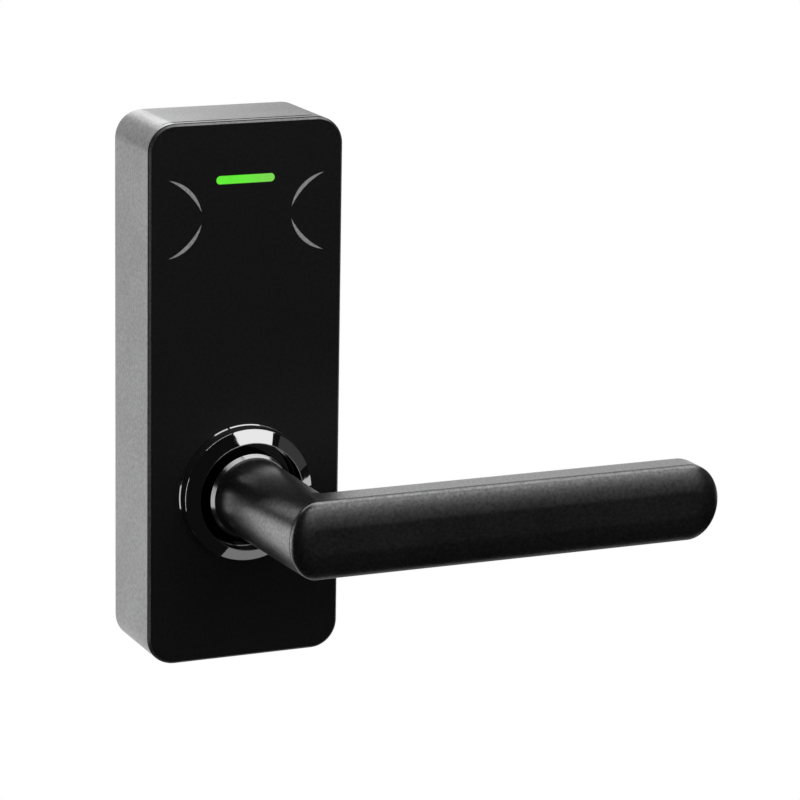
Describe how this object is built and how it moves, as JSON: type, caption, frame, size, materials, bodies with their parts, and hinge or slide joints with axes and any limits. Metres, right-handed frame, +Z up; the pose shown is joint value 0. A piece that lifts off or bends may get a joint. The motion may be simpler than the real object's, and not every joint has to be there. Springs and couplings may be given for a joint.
{
  "type": "smart lock",
  "caption": "Outside trim of an electronic card-reader door lock: upright rounded plate with a light bar, a round rose and an L-shaped lever with its spindle.",
  "frame": {"origin": "where the spindle's axis meets the door's face", "axes": "+X along the lever, +Y into the door along the spindle, +Z up; the front faces -Y"},
  "size_m": [0.1501, 0.1288, 0.1535],
  "materials": {
    "housing_paint": "satin graphite metallic coat on die-cast zinc",
    "cover_black": "fine-grained black polycarbonate blend",
    "light_green": "lit green light pipe",
    "mark_grey": "silver-grey inlay",
    "polished_chrome": "polished chrome plate",
    "satin_steel": "satin turned steel",
    "screw_steel": "zinc-plated steel",
    "plate_steel": "zinc-plated pressed steel",
    "gasket_rubber": "closed-cell black foam rubber",
    "board_green": "green solder mask on glass-fibre board",
    "chip_black": "moulded chip bodies",
    "socket_plastic": "natural nylon",
    "coil_copper": "copper track",
    "led_lens": "clear lens over the chip",
    "spring_steel": "oil-hardened spring wire",
    "lever_satin": "satin graphite metallic coat on cast zinc",
    "bearing_plastic": "white acetal",
    "pin_steel": "hardened ground steel",
    "shaft_brass": "turned brass",
    "spindle_steel": "bright drawn square bar"
  },
  "bodies": {
    "trim": {"housing_shell": "housing_paint", "face_frame": "housing_paint", "front_cover": "cover_black", "light_bar": "light_green", "reader_marks": "mark_grey", "rose_ring": "polished_chrome", "guide_sleeve": "satin_steel", "sleeve_screws": "screw_steel", "cover_screws": "screw_steel", "back_plate": "plate_steel", "plate_screws": "screw_steel", "door_gasket": "gasket_rubber", "fixing_posts": "screw_steel", "control_board": "board_green", "board_screws": "screw_steel", "board_parts": "chip_black", "wire_socket": "socket_plastic", "reader_board": "board_green", "antenna_coil": "coil_copper", "light_leds": "led_lens", "stop_posts": "plate_steel", "motor_can": "satin_steel", "motor_clamp": "socket_plastic", "return_spring": "spring_steel"},
    "lever": {"lever_arm": "lever_satin", "grip_front": "lever_satin", "thrust_washer": "bearing_plastic", "drive_cup": "plate_steel", "hub_screw": "screw_steel"},
    "coupling_pin": {"coupling_pin": "pin_steel"},
    "clutch_shoe": {"clutch_shoe": "bearing_plastic"},
    "motor_shaft": {"motor_shaft": "shaft_brass"},
    "spindle": {"follower": "plate_steel", "spindle": "spindle_steel", "follower_grub": "screw_steel"}
  },
  "joints": [
    {"name": "lever_turn", "type": "hinge", "parent": "trim", "child": "lever", "pos_m": [0, 0, 0], "axis": [0, 1, 0], "range_deg": [0, 45], "stiffness_Nm_per_rad": 1, "springref_deg": -28.65, "deforming": ["return_spring"]},
    {"name": "spindle_turn", "type": "hinge", "parent": "trim", "child": "spindle", "pos_m": [0, 0, 0], "axis": [0, 1, 0], "range_deg": [0, 45]},
    {"name": "motor_turn", "type": "hinge", "parent": "trim", "child": "motor_shaft", "pos_m": [0, -0.0112, 0.038], "axis": [0, 0, 1], "range_deg": [0, 360]},
    {"name": "shoe_lift", "type": "slide", "parent": "trim", "child": "clutch_shoe", "axis": [0, 0, 1], "range_m": [0, 0.002]},
    {"name": "pin_lift", "type": "slide", "parent": "lever", "child": "coupling_pin", "axis": [0, 0, 1], "range_m": [0, 0.002]}
  ],
  "couplings": [
    {"joint": "spindle_turn", "follows": "lever_turn", "ratio": 1},
    {"joint": "motor_turn", "follows": "shoe_lift", "rad_per_m": 3141.6},
    {"joint": "pin_lift", "follows": "shoe_lift", "ratio": 1}
  ]
}
